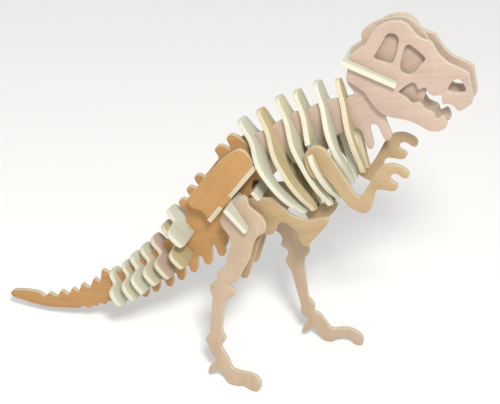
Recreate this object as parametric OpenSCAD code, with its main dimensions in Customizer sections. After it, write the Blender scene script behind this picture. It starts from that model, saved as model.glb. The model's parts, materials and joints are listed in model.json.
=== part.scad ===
// Slot-together plywood skeleton of a striding tyrannosaur. Flat plates cross
// each other in slots, with nothing glued. It faces +X, on Z = 0.

/* [Overall] */
// Length from the tip of the tail to the snout
model_length = 296; // [280:1:420]

/* [Plywood] */
// Thickness of the sheet that every plate is cut from
ply = 3; // [2.4:0.1:3.4]
// Play on each side of a plate in its slot
slot_play = 0.1; // [0.05:0.01:0.2]
// Play between the end of one slot and the end of the slot it crosses
end_play = 0.1; // [0.05:0.01:0.2]

/* [Head] */
// Distance from the middle of the skull to the middle of each side plate
skull_offset = 5.5; // [5:0.1:7]
// Distance from the middle of the skull to each end of the cheek bar
cheek_reach = 11.5; // [10:0.5:16]

/* [Ribs] */
// Widest half-breadth of rib 1, at the hips
rib_1_reach = 19; // [17:0.5:23]
// Depth of the backbone slot that a rib drops into
rib_seat = 8; // [6:0.5:10]

/* [Arms] */
// Distance from the middle of the body to the middle of each arm plate
arm_offset = 14.8; // [14.7:0.1:18]
// How far rib 4 stands out past the arm plates
arm_proud = 3.6; // [2:0.1:5]
// How much higher the far arm sits on rib 4 than the near one
far_arm_rise = 5.4; // [0:0.1:5.4]

/* [Tail] */
// Half-breadth of the widest vertebra, at the hips
vertebra_reach = 22; // [18:0.5:27]

/* [Hips and legs] */
// Distance from the middle of the body to the middle of each leg at the hip
leg_offset = 16; // [15.8:0.1:20]
// Distance from the middle of the body to each end of the hip bar
hip_bar_reach = 25; // [24:0.5:30]
// Distance from the middle of the body to the middle of each pubis plate
pubis_offset = 9.8; // [9.6:0.1:10.2]
// Outward lean of the near leg, about the normal of the hip bar
near_splay = 11; // [9:0.5:12]
// Outward lean of the far leg, about the normal of the hip bar
far_splay = 8.5; // [7:0.5:10]

/* [Hidden] */

// Outlines are drawn for a model this long and grow with its length.
drawn_length = 296;
k = model_length / drawn_length;
// Where the drawn outlines stand: middle of their length, height of their zero
drawn_middle = -18;
drawn_rise = 4;

slot_w = ply + 2 * slot_play;
// A slot that leaves a plate runs on this far, into thin air
run_out = 30 * k;

tan_wood = [0.76, 0.58, 0.40];
pink_wood = [0.88, 0.78, 0.68];
cream_wood = [0.90, 0.85, 0.72];
beige_wood = [0.80, 0.68, 0.50];

// Ribs, hips to neck: point where the front face meets the backbone, lean,
// half-breadth, half-breadth of the tongue, height of the tongue, drop to the
// widest place, drop to the tips, breadth of the side arms, middle of the tips
RIBS = [
    [[2.8, 155.8], 38, rib_1_reach, 5.6, 12, 17, 56, 7, 6],
    [[13, 163.3], 31.5, 16, 5.2, 11.5, 17, 57.5, 8.2, 4.6],
    [[24.2, 172], 28.5, 15, 5.2, 12.5, 17, 60, 7.2, 4.2],
    [[34.3, 177], 24.5, arm_offset + ply / 2 + arm_proud, 5, 12.5, 24, 57, 7, 4.2],
    [[45.7, 184.3], 22, 13.4, 5.2, 12.5, 17, 52.5, 6.8, 4],
    [[57.2, 187.8], 18.5, 9.4, 3.4, 12, 17, 46, 4.6, 4]
];
// The arms hang on rib 4. Depths below its top, at the near arm: the top of the
// notch for the arm, and the place where the notch ends and the arm's slot starts
notch_top = 16.2;
notch_end = 21.5;

// Vertebrae, hips to tip: point where the front face meets the tail, lean,
// half-breadth, height of the tongue, drop of the wings' tops and of their feet
VERTEBRAE = [
    [[-41.5, 88.5], 49, vertebra_reach, 12.5, -5, 8.8],
    [[-48.5, 78.8], 47, 0.95 * vertebra_reach, 9, 5, 18],
    [[-57, 68.8], 45, 0.92 * vertebra_reach, 7.5, 3, 17],
    [[-65, 61.3], 43, 0.9 * vertebra_reach, 6.5, 3, 16],
    [[-73, 54.2], 40, 0.9 * vertebra_reach, 5.5, 3, 16.5],
    [[-79.5, 47.5], 38, 0.87 * vertebra_reach, 4.5, 3, 16.5],
    [[-88.5, 40], 35, 0.8 * vertebra_reach, 4.5, 3, 16]
];
// Share of a vertebra's drop that sits in the tail plate's slot
vertebra_seat = 0.4;
tongue_half = 6.3;

hip = k * [-1, 109];
hip_angle = -45;
hip_bar_half = 9.2;
deck = k * [-7, 120];
deck_angle = 55.4;
deck_half = 25.5 * k;
// The ilium plates stand this far inside the legs.
ilium_gap = 1;
ilium_y = leg_offset - ply - ilium_gap;
// Tab of the ilium plates: its length, and its lower end below the deck's middle
tab_length = 10;
tab_end = 12;
cheek = k * [72.3, 209.2];
cheek_angle = -17;
cheek_half = 16.5;
spacer = k * [7.2, 120.4];
// Its slot in a pubis plate starts this far before it, outside the plate.
spacer_lead = 4;
spacer_half = 3.2;

// Point on the curve that rounds a corner, t running from 0 to 1
function bend(a, p, b, t) = (1 - t) * (1 - t) * a + 2 * t * (1 - t) * p + t * t * b;
// Point on the way from p to q, no further than r and no further than half way
function cut(p, q, r) = p + (q - p) * min(0.5, r / norm(q - p));
// Outline with its corners rounded over a length r, but for this many at the
// end of the list, which stay sharp. It grows with the model, or in height only.
function soft(pts, r, sharp = 0, grow = [k, k]) = [
    for (i = [0 : len(pts) - 1])
        let (p = pts[i])
        let (a = cut(p, pts[(i + len(pts) - 1) % len(pts)], r))
        let (b = cut(p, pts[(i + 1) % len(pts)], r))
        for (q = i < len(pts) - sharp ? [for (t = [1 / 6, 1 / 2, 5 / 6]) bend(a, p, b, t)] : [p])
            [grow[0] * q[0], grow[1] * q[1]]
];
function mirrored(pts) = concat(pts, [for (i = [len(pts) - 1 : -1 : 0]) [-pts[i][0], pts[i][1]]]);
function heading(angle) = [cos(angle), sin(angle)];
// Middle of a cross plate whose front face passes through p
function seat(p, lean) = k * p - ply / 2 * heading(lean);

// A plate along the body, drawn in X and Z
module along(y) {
    translate([0, y, 0])
        rotate([90, 0, 0])
            linear_extrude(ply, center = true)
                children();
}

// A plate across the body, drawn in Y and in the direction that it heads in
module across(at, angle) {
    translate([at[0], 0, at[1]])
        rotate([0, 90 - angle, 0])
            rotate([90, 0, 90])
                linear_extrude(ply, center = true)
                    children();
}

// A slot that starts this far from a point and heads away from it
module slot(at, angle, start) {
    translate(at)
        rotate(angle)
            translate([start, -slot_w / 2])
                square([run_out, slot_w]);
}

module placed() {
    translate([-k * drawn_middle, 0, k * drawn_rise])
        children();
}

module backbone() {
    color(pink_wood) placed() along(0) difference() {
        // The last four corners are the square end that butts against the tail plate.
        polygon(soft([
            [9, 158.5], [15.5, 164.5], [20, 168], [25, 172.5],
            [36, 178], [46, 184.5], [55, 187], [62, 190], [62.5, 192.5], [58, 197],
            [57.5, 201], [60, 206], [61, 213], [59.5, 218], [62, 222], [66, 224],
            [64.5, 229], [68, 233], [74, 237.5], [80, 240], [86, 242], [91, 241.5],
            [96, 239], [100, 234.5], [104.5, 227], [108, 219], [107, 208], [103, 199],
            [100.7, 188.7], [97, 185], [88, 184], [81, 182], [80.5, 178], [85.2, 168.5],
            [84, 165], [81, 165.2], [78.6, 170], [76.6, 174.2], [72.6, 174.6], [71.8, 171],
            [74.8, 161], [74.2, 158], [71.2, 158.2], [69.6, 163.5], [67.4, 169.6],
            [63.5, 171], [59, 167], [54.5, 165.5], [51, 161], [48.5, 154], [45.5, 151.5],
            [42.5, 153.5], [36, 147], [28, 140.5], [23, 141], [19, 136.5],
            [14.5, 130.4], [13.5, 129], [7.8, 147], [3.5, 156]
        ], 3, 4));
        for (r = RIBS)
            slot(seat(r[0], r[1]), 90 + r[1], -rib_seat);
        slot(cheek, cheek_angle + 180, 0);
    }
}

// Teeth under the tail: a round tip, then the notch in front of it
function spikes(tips, gaps) = [
    for (i = [0 : len(tips) - 1])
        for (p = [
            tips[i] + [-2.9, 4], tips[i] + [-2, 0.2], tips[i] + [1.4, -0.2],
            tips[i] + [2.9, 3.5], gaps[i] + [-1.2, -1], gaps[i] + [0.9, -0.4]
        ])
            p
];

module tail_plate() {
    color(tan_wood) placed() along(0) difference() {
        // The last three corners are the square end that butts against the backbone.
        polygon(soft(concat(
            [
                [0, 147], [-3, 149.5], [-8, 153], [-12, 153.5], [-14.5, 150.5],
                [-12.5, 146.5], [-11, 142.5], [-16, 145], [-19.5, 145], [-22, 141.5],
                [-19, 137], [-21, 130], [-27.5, 120.5], [-31, 123.2], [-34.5, 122],
                [-35, 119], [-31.5, 114.5], [-33.5, 112], [-37, 114], [-40, 112.5],
                [-40, 109.5], [-36.5, 106], [-38, 103], [-42.5, 104.5], [-45.5, 102.5],
                [-45, 99], [-40.5, 95], [-40.5, 89], [-46, 82], [-52, 75], [-57.5, 68.5],
                [-70, 57], [-78, 50], [-86, 43.5], [-94, 40], [-99.5, 42], [-100, 37],
                [-101, 31], [-105, 34.5], [-106.5, 31], [-108.5, 25], [-114, 28.5],
                [-115, 25], [-116.5, 20.5], [-121, 23.4], [-122.5, 20], [-124, 16.7],
                [-129, 20], [-130.5, 17], [-132.5, 13.5], [-137.5, 16.3], [-139, 14.5],
                [-141, 11.8], [-145, 14.8], [-154, 14.6], [-163, 13], [-166.3, 10.5],
                [-165, 7.5], [-150, 5.3], [-138, 5], [-117, 8.5], [-113.5, 11.3],
                [-110, 9.6], [-106.5, 13.2], [-104, 12.4], [-101.5, 16.4], [-98.5, 14.8],
                [-95, 19.5], [-91.5, 18], [-84, 24], [-76, 31.5]
            ],
            spikes(
                [[-70, 27], [-62.5, 32.5], [-53, 38.5], [-45, 45], [-36.5, 52.5], [-27, 60], [-18, 68]],
                [[-66.5, 37], [-58.5, 43.5], [-50, 50], [-41.5, 57.5], [-32.5, 66], [-23.5, 76], [-15, 77]]
            ),
            [
                [-13, 84], [-8, 92], [-3, 98], [3, 101.5], [6.5, 104], [8.5, 108], [9, 113],
                [2, 113.5], [0.5, 119], [2.5, 125.5], [9, 126.5], [12.2, 127.2],
                [13.4, 129], [7.7, 147], [4, 148.6]
            ]
        ), 1.6, 3));
        slot(seat(RIBS[0][0], RIBS[0][1]), 90 + RIBS[0][1], -rib_seat);
        slot(deck, deck_angle, -end_play / 2);
        slot(hip, hip_angle, -end_play / 2);
        for (v = VERTEBRAE)
            slot(seat(v[0], v[1]), 90 + v[1], -vertebra_seat * v[5]);
    }
}

module hip_deck() {
    full = ilium_y + ply / 2;
    color(beige_wood) placed() across(deck, deck_angle) difference() {
        translate([-full, -deck_half])
            square([2 * full, 2 * deck_half]);
        slot([0, 0], -90, -end_play / 2);
        // Notches for the tabs of the ilium plates
        for (side = [-1, 1])
            translate([side * ilium_y - slot_w / 2, -tab_end])
                square([slot_w, tab_length]);
    }
}

module hip_bar() {
    color(cream_wood) placed() across(hip, hip_angle) difference() {
        translate([-hip_bar_reach, -hip_bar_half])
            square([2 * hip_bar_reach, 2 * hip_bar_half]);
        slot([0, 0], -90, -end_play / 2);
        slot([-pubis_offset, 0], 90, -end_play / 2);
        slot([pubis_offset, 0], 90, -end_play / 2);
        slot([-leg_offset, 0], 90 + near_splay, -end_play / 2);
        slot([leg_offset, 0], 90 - far_splay, -end_play / 2);
    }
}

module pelvis_spacer() {
    reach = pubis_offset + ply / 2 + 0.4;
    color(cream_wood) placed() across(spacer, hip_angle)
        translate([-reach, -spacer_half])
            square([2 * reach, 2 * spacer_half]);
}

module pubis(y) {
    color(beige_wood) placed() along(y) difference() {
        polygon(soft([
            [-1, 115], [3, 117], [7.5, 120.4], [11.5, 118.9], [18.5, 120.9], [22, 116.9],
            [29, 111], [37.5, 109], [41.5, 109.7], [50.5, 113.3], [52.3, 111.4],
            [51, 108.4], [41.5, 94.9], [40.5, 92.4], [38.5, 91.4], [35.5, 93],
            [34.5, 98.4], [32.5, 101.9], [25.5, 105.9], [22.5, 105.4], [21, 103],
            [19, 97], [16, 95.5], [11, 94], [8, 84], [5, 72], [2.5, 62.5], [-0.5, 61],
            [-3, 63.5], [-2, 72], [0, 84], [-1, 94], [-4, 101], [-5, 108]
        ], 2));
        slot(hip, hip_angle + 180, -end_play / 2);
        translate(spacer)
            rotate(hip_angle)
                translate([-spacer_half - spacer_lead, -slot_w / 2])
                    square([2 * spacer_half + spacer_lead + end_play, slot_w]);
    }
}

module ilium(y) {
    color(tan_wood) placed() along(y) difference() {
        polygon(soft([
            [-34.5, 109], [-32.5, 106.2], [-26.5, 105.7], [-24, 103.5], [-20.6, 98], [-19.6, 98.8],
            [8.3, 139.4], [7.2, 141.6], [2.4, 148.6], [-0.5, 150.7], [-3, 150.6], [-5.5, 149.2],
            [-9.5, 145.7], [-14.5, 140.7], [-25.5, 126.2], [-31.5, 117.2], [-35.3, 112]
        ], 1.5));
        // Everything below the deck's upper face goes, but for the tab.
        translate(deck)
            rotate(deck_angle)
                difference() {
                    translate([-run_out - deck_half, -run_out])
                        square([2 * (deck_half + run_out), run_out + slot_w / 2]);
                    translate([-tab_end + slot_play, -ply / 2])
                        square([tab_length - 2 * slot_play, slot_w]);
                }
    }
}

// A leg is drawn flat and then leans out about the normal of the hip bar.
module leg(y, lean) {
    translate([hip[0], y, hip[1]])
        rotate(lean, [1, 0, 1])
            rotate([90, 0, 0])
                linear_extrude(ply, center = true)
                    translate(-hip)
                        difference() {
                            children();
                            slot(hip, hip_angle + 180, -end_play / 2);
                        }
}

module leg_near() {
    color(cream_wood) placed() leg(-leg_offset, -near_splay)
        polygon(soft([
            [-0.5, 122], [-10, 110], [-13, 104.5], [-13, 100.5], [-7.5, 95], [-4.5, 90],
            [-7, 82], [-8, 73.5], [-13, 69.5], [-13.7, 66], [-13, 62.5], [-17.7, 59.5],
            [-17.8, 56], [-15.5, 51], [-16, 38], [-16.3, 26], [-18.9, 23], [-18.7, 20.2],
            [-16, 17.5], [-15.5, 13], [-11.5, 11.2], [-11.5, 8.5], [-16, 3], [-15.7, -0.5],
            [-13.8, -1.2], [-10.5, 2], [-8.5, 3], [-6, 2], [-2, -4.8], [3.8, -4.9],
            [9, -2.2], [13, -5], [18, -5], [20, -1], [19.6, 2.8], [17, 5.2], [13, 6.5],
            [5, 5.6], [0.5, 6], [-1.5, 8], [-3, 12], [-9, 19], [-5.3, 25], [-9, 30.5],
            [-8.5, 38], [-7, 50.5], [-0.9, 56], [-1, 59.5], [-6, 61.5], [0, 65.3],
            [2.5, 72], [7, 82], [8.6, 92], [11, 97.5], [16, 101.5], [16.4, 107],
            [13, 111.5], [4, 116], [3, 121.5]
        ], 2));
}

module leg_far() {
    color(cream_wood) placed() leg(leg_offset, far_splay)
        polygon(soft([
            [-0.5, 122], [-10, 110], [-13, 104.5], [-13, 100.5], [-7.5, 95], [-2, 89],
            [6, 83], [13, 78.5], [15, 74], [13, 69], [18, 66.5], [18.3, 62], [15.8, 57.5],
            [18, 53.5], [20.3, 49], [22, 40], [25, 27], [26, 22], [25.3, 18.5], [26.5, 15],
            [30, 12.5], [29.7, 9], [26.6, 4], [27, 0.8], [30, 1.5], [33, 6.5], [35.3, 5.2],
            [37, 1.5], [40.5, -4.3], [45.5, -4.9], [50, -0.6], [55, 1], [58, 0.2],
            [61, -4.8], [65.5, -4.9], [66.5, -1], [65.7, 2.6], [62.5, 5.6], [58, 7.8],
            [52, 7.6], [47, 5.6], [44.5, 6.5], [38, 17.5], [34.2, 17.8], [34.8, 24],
            [30.5, 29.5], [29, 45], [28, 55], [28.7, 62], [32, 66], [30.5, 71],
            [27, 79], [20, 88], [16, 95.5], [16, 101.5], [16.4, 107], [13, 111.5],
            [4, 116], [3, 121.5]
        ], 2));
}

// Half-breadth of the inside of a rib, where its outside is this share of the reach
function inside(r, share) = max(share * r[2] - r[7], slot_w / 2 + 0.3);

// A rib, less any outline that is given
module rib(r) {
    reach = r[2];
    fall = r[5];
    drop = r[6];
    tip = r[8];
    color(cream_wood) placed() across(seat(r[0], r[1]), 90 + r[1]) difference() {
        polygon(soft(mirrored([
            [tip - 1.8, -drop], [tip + 1.5, -drop], [max(0.4 * reach, tip + 2), -0.94 * drop],
            [0.66 * reach, -0.84 * drop], [0.88 * reach, -0.69 * drop],
            [0.98 * reach, -0.54 * drop], [reach, -fall], [0.8 * reach, 7 - fall],
            [r[3] + 0.5, -2], [r[3], r[4] - 3], [r[3] - 1.6, r[4]]
        ]), 5, 0, [1, k]));
        polygon(soft(mirrored([
            [inside(r, 0), -drop - 12], [inside(r, 0.3), -0.94 * drop],
            [inside(r, 0.66), -0.84 * drop], [inside(r, 0.88), -0.69 * drop],
            [inside(r, 0.98), -0.54 * drop], [inside(r, 0.9), -fall - 5],
            [inside(r, 0.5), -fall - 1]
        ]), 5, 0, [1, k]));
        slot([0, 0], -90, rib_seat - end_play);
        children();
    }
}

// Rib 4 has a notch in each outer edge, where an arm plate hangs.
module shoulder_rib() {
    inner = arm_offset - slot_w / 2;
    rib(RIBS[3]) {
        translate([-inner - run_out, -k * notch_end - end_play])
            square([run_out, k * (notch_end - notch_top) + end_play]);
        translate([inner, far_arm_rise - k * notch_end - end_play])
            square([run_out, k * (notch_end - notch_top) + end_play]);
    }
}

module arm(y, rise) {
    r = RIBS[3];
    up = [-sin(r[1]), cos(r[1])];
    color(beige_wood) placed() translate([rise * up[0], 0, rise * up[1]]) along(y) difference() {
        polygon(soft([
            [41, 143.5], [38.8, 148.5], [37.8, 153.5], [39, 158.5], [42, 161.5], [46, 162.5],
            [50, 161], [56, 152.5], [64, 141.5], [68.5, 134.5], [72, 133.5], [74, 137.5],
            [80, 151.5], [83.5, 156.5], [89, 158.5], [94, 158], [99, 155.5], [99.5, 151.5],
            [96.5, 150.5], [92.5, 153.5], [89, 152], [88, 148], [93, 146.5], [93.5, 143.5],
            [91, 141.3], [87, 141.5], [82, 141.5], [80, 138.5], [79.3, 131.5], [78, 126.5],
            [74.5, 123.6], [70, 124.5], [65, 127], [61, 131.5], [56, 138.5], [52, 142.5],
            [50.5, 144], [48, 142], [45, 141]
        ], 3));
        slot(seat(r[0], r[1]), r[1] - 90, k * notch_end);
    }
}

module cheek_bar() {
    color(cream_wood) placed() across(cheek, cheek_angle) difference() {
        translate([-cheek_reach, -cheek_half])
            square([2 * cheek_reach, 2 * cheek_half]);
        for (y = [-skull_offset, 0, skull_offset])
            slot([y, 0], 90, -end_play / 2);
    }
}

module skull(y) {
    color(pink_wood) placed() along(y) difference() {
        polygon(soft([
            [60, 217], [59.3, 209], [58.5, 202], [64, 199.2], [69, 196.5], [75, 188.5],
            [79, 184.8], [84, 183], [93, 182.8], [98, 182], [103, 180], [107, 178],
            [112, 178.2], [117, 181.5], [116.8, 185], [114.6, 188.8], [110.5, 185.2],
            [109.5, 189.3], [106, 190.3], [103.7, 191], [101.5, 194.5], [99, 194.2],
            [96.5, 192.6], [94, 195.4], [88, 198.5], [92.5, 203.5], [96.5, 206.6],
            [98.7, 205.5], [99.6, 201.8], [103.8, 204.8], [106, 200.6], [109, 199.8],
            [113, 201.4], [113.8, 195.6], [117, 196.6], [120, 196], [123, 192.4],
            [127.5, 196], [130.3, 199], [130.2, 203], [128, 212], [127.5, 215.7],
            [125, 217.2], [120, 218.8], [115, 220.5], [110, 224.5], [105, 232],
            [100, 232.4], [97, 234], [94, 237.8], [91, 240.3], [88, 241.2], [83, 240.7],
            [78, 238.7], [74, 235.3], [71.5, 231], [69, 225], [65, 222]
        ], 1.6));
        // Eye socket, the opening in front of it, and the nostril
        polygon(soft([
            [73, 216.5], [79, 229], [80.5, 233], [84, 234.2], [87.8, 232],
            [86.5, 222], [84.3, 214.8]
        ], 2.5));
        polygon(soft([
            [93, 229], [90.8, 226.5], [88.6, 216], [89, 211], [93.5, 209.6],
            [97, 212], [103.3, 221.6], [101, 223.6], [96.5, 227]
        ], 2.5));
        polygon(soft([
            [115, 203.4], [118, 210], [121.5, 213], [125, 209.5], [126.8, 204.6], [121, 203.2]
        ], 3));
        slot(cheek, cheek_angle + 180, -end_play / 2);
    }
}

module vertebra(v) {
    reach = v[2];
    top = -v[4];
    foot = -v[5];
    color(cream_wood) placed() across(seat(v[0], v[1]), 90 + v[1]) difference() {
        polygon(soft(mirrored([
            [reach - 2, foot], [reach, foot + 2], [reach, top - 3],
            [reach - 3, top], [tongue_half + 1, top], [tongue_half, top + 2],
            [tongue_half, v[3] - 3], [tongue_half - 2, v[3]]
        ]), 3, 0, [1, k]));
        slot([0, 0], -90, vertebra_seat * v[5] - end_play);
    }
}

backbone();
tail_plate();
hip_deck();
hip_bar();
pelvis_spacer();
pubis(-pubis_offset);  // pubis_near
pubis(pubis_offset);  // pubis_far
ilium(-ilium_y);  // ilium_near
ilium(ilium_y);  // ilium_far
leg_near();
leg_far();
rib(RIBS[0]);  // rib_1
rib(RIBS[1]);  // rib_2
rib(RIBS[2]);  // rib_3
shoulder_rib();  // rib_4
rib(RIBS[4]);  // rib_5
rib(RIBS[5]);  // rib_6
arm(-arm_offset, 0);  // arm_near
arm(arm_offset, far_arm_rise);  // arm_far
cheek_bar();
skull(-skull_offset);  // skull_near
skull(skull_offset);  // skull_far
vertebra(VERTEBRAE[6]);  // vertebra_1
vertebra(VERTEBRAE[5]);  // vertebra_2
vertebra(VERTEBRAE[4]);  // vertebra_3
vertebra(VERTEBRAE[3]);  // vertebra_4
vertebra(VERTEBRAE[2]);  // vertebra_5
vertebra(VERTEBRAE[1]);  // vertebra_6
vertebra(VERTEBRAE[0]);  // vertebra_7
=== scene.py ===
import json
import math

import bmesh
import bpy
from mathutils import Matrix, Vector

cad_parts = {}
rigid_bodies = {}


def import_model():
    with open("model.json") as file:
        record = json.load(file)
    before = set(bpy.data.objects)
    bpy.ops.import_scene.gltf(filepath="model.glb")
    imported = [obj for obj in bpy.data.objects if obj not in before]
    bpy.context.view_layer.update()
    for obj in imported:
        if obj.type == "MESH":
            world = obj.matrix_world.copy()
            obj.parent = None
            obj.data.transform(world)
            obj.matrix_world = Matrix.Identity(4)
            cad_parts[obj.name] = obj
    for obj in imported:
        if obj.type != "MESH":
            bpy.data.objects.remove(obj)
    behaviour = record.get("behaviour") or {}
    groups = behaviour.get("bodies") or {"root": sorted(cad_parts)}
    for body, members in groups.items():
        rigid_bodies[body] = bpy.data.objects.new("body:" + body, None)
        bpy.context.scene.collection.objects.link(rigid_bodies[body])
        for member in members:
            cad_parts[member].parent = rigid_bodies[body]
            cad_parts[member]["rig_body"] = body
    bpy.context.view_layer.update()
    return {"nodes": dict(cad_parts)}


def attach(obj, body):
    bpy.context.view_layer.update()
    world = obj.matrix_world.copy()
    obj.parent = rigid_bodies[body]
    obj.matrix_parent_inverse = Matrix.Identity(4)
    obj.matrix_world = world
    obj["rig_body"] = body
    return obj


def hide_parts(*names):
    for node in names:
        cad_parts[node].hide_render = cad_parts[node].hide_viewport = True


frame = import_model()

# ---------------------------------------------------------------- sizes, in metres
PLY = 0.003  # sheet thickness
EASED = 0.00028  # how far the sanded edges are rounded back
FACE_RELIEF = 0.00012  # depth of the fibres and pores in a face
EDGE_RELIEF = 0.00015  # depth of the saw marks and end grain in a cut edge
WELD = 1e-6  # points of a plate that are this close are one
FLOOR_REACH = 4
MM = 1000.0  # the wood is drawn in millimetres
HALF_SHEET = PLY * MM / 2

# ---------------------------------------------------------------- wood tones
# face colour, darker grain colour, edge colour (linear)
TONES = {
    "tan": ((0.42, 0.235, 0.090), (0.34, 0.175, 0.062), (0.62, 0.55, 0.39)),
    "pink": ((0.455, 0.350, 0.290), (0.40, 0.295, 0.225), (0.62, 0.58, 0.46)),
    "cream": ((0.53, 0.515, 0.375), (0.45, 0.40, 0.26), (0.64, 0.62, 0.50)),
    "straw": ((0.48, 0.405, 0.240), (0.41, 0.32, 0.175), (0.62, 0.57, 0.42)),
    "beige": ((0.40, 0.290, 0.165), (0.34, 0.235, 0.120), (0.60, 0.53, 0.38)),
    "pale": ((0.54, 0.555, 0.465), (0.49, 0.47, 0.36), (0.64, 0.63, 0.52)),
    "blush": ((0.44, 0.335, 0.240), (0.38, 0.275, 0.185), (0.62, 0.57, 0.44)),
}
TONE_OF = {
    "tail_plate": "tan", "ilium_near": "tan", "ilium_far": "tan",
    "backbone": "pink", "skull_near": "pink", "skull_far": "pink",
    "hip_deck": "beige", "pubis_near": "beige", "pubis_far": "beige",
    "arm_near": "beige", "arm_far": "beige",
    "leg_near": "blush", "leg_far": "blush",
    "rib_1": "pale", "rib_2": "straw", "rib_3": "cream", "rib_4": "cream",
    "rib_5": "pale", "rib_6": "straw", "cheek_bar": "pale",
    "vertebra_7": "pale", "vertebra_5": "pink", "vertebra_6": "straw",
}
# Direction of the grain in the plates that stand along the body, in degrees up
# from +X. The plates across the body have it running down their middle.
GRAIN_ANGLE = {
    "tail_plate": 8, "backbone": 38, "ilium_near": 56, "ilium_far": 56,
    "leg_near": 84, "leg_far": 100, "skull_near": 12, "skull_far": 12,
    "arm_near": -50, "arm_far": -50, "pubis_near": 20, "pubis_far": 20,
}


# ---------------------------------------------------------------- materials
def graph(name):
    material = bpy.data.materials.new(name)
    material.use_nodes = True
    tree = material.node_tree
    return material, tree, tree.nodes["Principled BSDF"]


def add(tree, kind, **inputs):
    node = tree.nodes.new(kind)
    for key, value in inputs.items():
        socket = node.inputs[key.replace("_", " ")]
        if isinstance(value, bpy.types.NodeSocket):
            tree.links.new(value, socket)
        else:
            socket.default_value = value
    return node


def scaled(tree, vector, factors):
    node = tree.nodes.new("ShaderNodeVectorMath")
    node.operation = "MULTIPLY"
    tree.links.new(vector, node.inputs[0])
    node.inputs[1].default_value = factors
    return node.outputs[0]


def noise(tree, vector, scale, detail=4.0, rough=0.55, distortion=0.0):
    node = add(tree, "ShaderNodeTexNoise", Vector=vector, Scale=scale, Detail=detail,
               Roughness=rough, Distortion=distortion)
    return node.outputs["Fac"]


def ramp(tree, factor, low, high):
    """0 below low, 1 above high, eased between."""
    node = tree.nodes.new("ShaderNodeMapRange")
    node.interpolation_type = "SMOOTHSTEP"
    tree.links.new(factor, node.inputs["Value"])
    node.inputs["From Min"].default_value = low
    node.inputs["From Max"].default_value = high
    return node.outputs["Result"]


def maths(tree, operation, a, b):
    node = tree.nodes.new("ShaderNodeMath")
    node.operation = operation
    for i, value in enumerate((a, b)):
        if isinstance(value, bpy.types.NodeSocket):
            tree.links.new(value, node.inputs[i])
        else:
            node.inputs[i].default_value = value
    return node.outputs[0]


def mix(tree, factor, a, b):
    node = tree.nodes.new("ShaderNodeMix")
    node.data_type = "RGBA"
    for key, value in (("Factor_Float", factor), ("A_Color", a), ("B_Color", b)):
        socket = next(s for s in node.inputs if s.identifier == key)
        if isinstance(value, bpy.types.NodeSocket):
            tree.links.new(value, socket)
        elif key == "Factor_Float":
            socket.default_value = value
        else:
            socket.default_value = (*value, 1.0)
    return next(s for s in node.outputs if s.identifier == "Result_Color")


def layer(tree, colour, over, mask, strength):
    """Lays a colour over another where mask is 1, at most as strongly as strength."""
    return mix(tree, maths(tree, "MULTIPLY", mask, strength), colour, over)


def shade(colour, factor):
    return tuple(value * factor for value in colour)


def mid(a, b):
    return tuple((x + y) / 2 for x, y in zip(a, b))


def sheet_coordinates(tree):
    """Millimetres along the grain, across it and through the sheet."""
    node = tree.nodes.new("ShaderNodeAttribute")
    node.attribute_name = "sheet"
    return node.outputs["Vector"]


def relief(tree, bsdf, height, strength, depth):
    bump = add(tree, "ShaderNodeBump", Strength=strength, Distance=depth, Height=height)
    tree.links.new(bump.outputs["Normal"], bsdf.inputs["Normal"])


def face_material(tone):
    face, grain, _ = TONES[tone]
    material, tree, bsdf = graph(f"plywood_{tone}_face")
    at = sheet_coordinates(tree)
    # Broad growth bands, fine fibres and short dark pores, all drawn out along the grain
    bands = noise(tree, scaled(tree, at, (0.012, 0.24, 0.1)), 1.0, 3.0, 0.5, 0.9)
    fibres = noise(tree, scaled(tree, at, (0.06, 2.2, 1.0)), 1.0, 5.0, 0.62, 0.25)
    pores = noise(tree, scaled(tree, at, (0.22, 4.5, 2.0)), 1.0, 2.0, 0.5)
    stains = noise(tree, scaled(tree, at, (0.03, 0.045, 0.03)), 1.0, 2.0, 0.5)
    flame = noise(tree, scaled(tree, at, (0.25, 0.05, 0.05)), 1.0, 2.0, 0.4, 0.6)
    colour = layer(tree, face, grain, ramp(tree, bands, 0.36, 0.70), 0.6)
    colour = layer(tree, colour, shade(grain, 0.86), ramp(tree, fibres, 0.45, 0.75), 0.38)
    colour = layer(tree, colour, shade(grain, 0.62), ramp(tree, pores, 0.62, 0.74), 0.40)
    colour = layer(tree, colour, shade(face, 1.16), ramp(tree, stains, 0.42, 0.66), 0.30)
    colour = layer(tree, colour, shade(face, 1.25), ramp(tree, flame, 0.45, 0.70), 0.10)
    tree.links.new(colour, bsdf.inputs["Base Color"])
    rough = maths(tree, "ADD", maths(tree, "MULTIPLY", fibres, 0.22), 0.50)
    tree.links.new(rough, bsdf.inputs["Roughness"])
    bsdf.inputs["Specular IOR Level"].default_value = 0.32
    sunk = maths(tree, "MULTIPLY", ramp(tree, pores, 0.60, 0.74), 0.7)
    relief(tree, bsdf, maths(tree, "SUBTRACT", fibres, sunk), 0.22, FACE_RELIEF)
    return material


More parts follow.
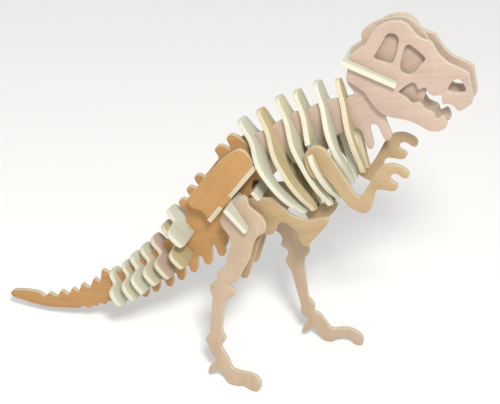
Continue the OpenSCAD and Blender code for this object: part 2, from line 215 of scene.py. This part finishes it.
def edge_material(tone):
    """Cut edge: two pale veneers and a core whose end grain is a little darker."""
    _, grain, edge = TONES[tone]
    material, tree, bsdf = graph(f"plywood_{tone}_edge")
    at = sheet_coordinates(tree)
    through = tree.nodes.new("ShaderNodeSeparateXYZ")
    tree.links.new(at, through.inputs[0])
    depth = maths(tree, "ABSOLUTE", through.outputs["Z"], 0.0)
    wander = noise(tree, scaled(tree, at, (0.5, 0.5, 0.0)), 1.0, 2.0)
    wander = maths(tree, "MULTIPLY", maths(tree, "SUBTRACT", wander, 0.5), 0.3)
    depth = maths(tree, "ADD", depth, wander)
    core = maths(tree, "SUBTRACT", 1.0, ramp(tree, depth, HALF_SHEET * 0.42, HALF_SHEET * 0.56))
    beyond = ramp(tree, depth, HALF_SHEET * 0.52, HALF_SHEET * 0.62)
    line = maths(tree, "MULTIPLY", ramp(tree, depth, HALF_SHEET * 0.38, HALF_SHEET * 0.48),
                 maths(tree, "SUBTRACT", 1.0, beyond))
    ends = noise(tree, scaled(tree, at, (5.0, 5.0, 2.0)), 1.0, 3.0)
    streak = noise(tree, scaled(tree, at, (0.12, 0.12, 3.0)), 1.0, 3.0)
    colour = layer(tree, edge, mid(edge, grain), core, 0.35)
    colour = layer(tree, colour, shade(grain, 0.7), line, 0.40)
    colour = layer(tree, colour, grain, ramp(tree, ends, 0.5, 0.75), 0.30)
    colour = layer(tree, colour, shade(grain, 0.9), ramp(tree, streak, 0.5, 0.75), 0.28)
    tree.links.new(colour, bsdf.inputs["Base Color"])
    rough = maths(tree, "ADD", maths(tree, "MULTIPLY", ends, 0.2), 0.62)
    tree.links.new(rough, bsdf.inputs["Roughness"])
    bsdf.inputs["Specular IOR Level"].default_value = 0.22
    height = maths(tree, "ADD", ends, maths(tree, "MULTIPLY", streak, 0.6))
    relief(tree, bsdf, height, 0.35, EDGE_RELIEF)
    return material


FACE = {tone: face_material(tone) for tone in TONES}
EDGE = {tone: edge_material(tone) for tone in TONES}


# ---------------------------------------------------------------- plates
def sheet_frame(bm, name):
    """Normal of the plate's faces, direction of its grain, the one across it, and its middle."""
    largest = max(bm.faces, key=lambda f: f.calc_area())
    normal = largest.normal.copy()
    if name in GRAIN_ANGLE:
        a = math.radians(GRAIN_ANGLE[name])
        grain = Vector((math.cos(a), 0, math.sin(a)))
    elif abs(normal.y) > 0.5:
        grain = Vector((0.6, 0, 0.8))
    else:
        grain = Vector((0, 1, 0)).cross(normal)
    grain = (grain - normal * grain.dot(normal)).normalized()
    across = normal.cross(grain)
    heights = [v.co.dot(normal) for v in bm.verts]
    return normal, grain, across, (min(heights) + max(heights)) / 2


def dressed_plate(name, order):
    """A CAD plate with its edges eased by sanding, its wood laid out along the sheet."""

    def facing(face):
        """1 for a face of the sheet, 0 for one that is cut square through it."""
        return abs(face.normal.dot(normal))

    source = frame["nodes"][name]
    bm = bmesh.new()
    bm.from_mesh(source.data)
    bmesh.ops.remove_doubles(bm, verts=bm.verts, dist=WELD)
    bmesh.ops.dissolve_limit(bm, angle_limit=math.radians(0.5), verts=bm.verts, edges=bm.edges)
    bm.normal_update()
    normal, grain, across, middle = sheet_frame(bm, name)
    rim = [e for e in bm.edges if len(e.link_faces) == 2
           and abs(facing(e.link_faces[0]) - facing(e.link_faces[1])) > 0.7]
    bmesh.ops.bevel(bm, geom=rim, offset=EASED, offset_type="OFFSET", segments=2, profile=0.5,
                    affect="EDGES", clamp_overlap=True)
    bmesh.ops.triangulate(bm, faces=[f for f in bm.faces if len(f.verts) > 4])
    bm.normal_update()
    for face in bm.faces:
        face.material_index = 0 if facing(face) > 0.6 else 1
        face.smooth = facing(face) < 0.99
    mesh = bpy.data.meshes.new(name + "_wood")
    bm.to_mesh(mesh)
    bm.free()
    # Each plate comes from its own patch of the sheet.
    patch = Vector((61.0 * order, 23.0 * order, 0.0))
    attribute = mesh.attributes.new("sheet", "FLOAT_VECTOR", "POINT")
    for vertex, value in zip(mesh.vertices, attribute.data):
        through = vertex.co.dot(normal) - middle
        value.vector = Vector((vertex.co.dot(grain), vertex.co.dot(across), through)) * MM + patch
    # A vertebra with no tone of its own takes one of two in turn.
    tone = TONE_OF.get(name, "cream" if order % 2 else "pale")
    mesh.materials.append(FACE[tone])
    mesh.materials.append(EDGE[tone])
    mesh.set_sharp_from_angle(angle=math.radians(38))
    piece = bpy.data.objects.new(name + "_wood", mesh)
    bpy.context.scene.collection.objects.link(piece)
    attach(piece, source["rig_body"])
    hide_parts(name)
    return piece


for order, name in enumerate(sorted(frame["nodes"])):
    dressed_plate(name, order)

# ---------------------------------------------------------------- floor, light, camera
floor_mesh = bpy.data.meshes.new("floor")
corners = [(-1, -1), (1, -1), (1, 1), (-1, 1)]
floor_mesh.from_pydata([(x * FLOOR_REACH, y * FLOOR_REACH, 0) for x, y in corners], [], [(0, 1, 2, 3)])
floor = bpy.data.objects.new("floor", floor_mesh)
bpy.context.scene.collection.objects.link(floor)
floor_material, _, floor_bsdf = graph("pale_floor")
floor_bsdf.inputs["Base Color"].default_value = (0.93, 0.93, 0.925, 1)
floor_bsdf.inputs["Roughness"].default_value = 0.85
floor_mesh.materials.append(floor_material)

TARGET = Vector((0.018, 0, 0.113))  # middle of the picture, on the animal's mid-plane
AZIMUTH = math.radians(18.6)
ELEVATION = math.radians(30)
DISTANCE = 0.95
LENS = 114  # millimetres, on a 36 mm sensor


def bearing(azimuth, elevation):
    """Direction from the model, azimuth turned from the near side (-Y) towards +X."""
    level = math.cos(elevation)
    return Vector((math.sin(azimuth) * level, -math.cos(azimuth) * level, math.sin(elevation)))


def aim(thing, away, distance):
    thing.location = TARGET + away * distance
    thing.rotation_euler = (-away).to_track_quat("-Z", "Y").to_euler()
    bpy.context.scene.collection.objects.link(thing)


def lamp(name, watts, size, azimuth, elevation, distance, colour):
    """A square soft light aimed at the model."""
    data = bpy.data.lights.new(name, "AREA")
    data.energy = watts
    data.size = size
    data.color = colour
    light = bpy.data.objects.new(name, data)
    aim(light, bearing(math.radians(azimuth), math.radians(elevation)), distance)


lamp("key", 14, 0.22, 26, 44, 1.3, (1.0, 0.97, 0.93))
lamp("fill", 5, 1.4, -40, 30, 1.7, (1.0, 0.98, 0.95))
world = bpy.data.worlds.new("studio")
world.use_nodes = True
world.node_tree.nodes["Background"].inputs["Color"].default_value = (1, 1, 1, 1)
world.node_tree.nodes["Background"].inputs["Strength"].default_value = 0.62
bpy.context.scene.world = world
bpy.context.scene.view_settings.view_transform = "Standard"

camera_data = bpy.data.cameras.new("camera")
camera_data.lens = LENS
camera_data.sensor_width = 36
camera = bpy.data.objects.new("camera", camera_data)
aim(camera, bearing(AZIMUTH, ELEVATION), DISTANCE)
bpy.context.scene.camera = camera
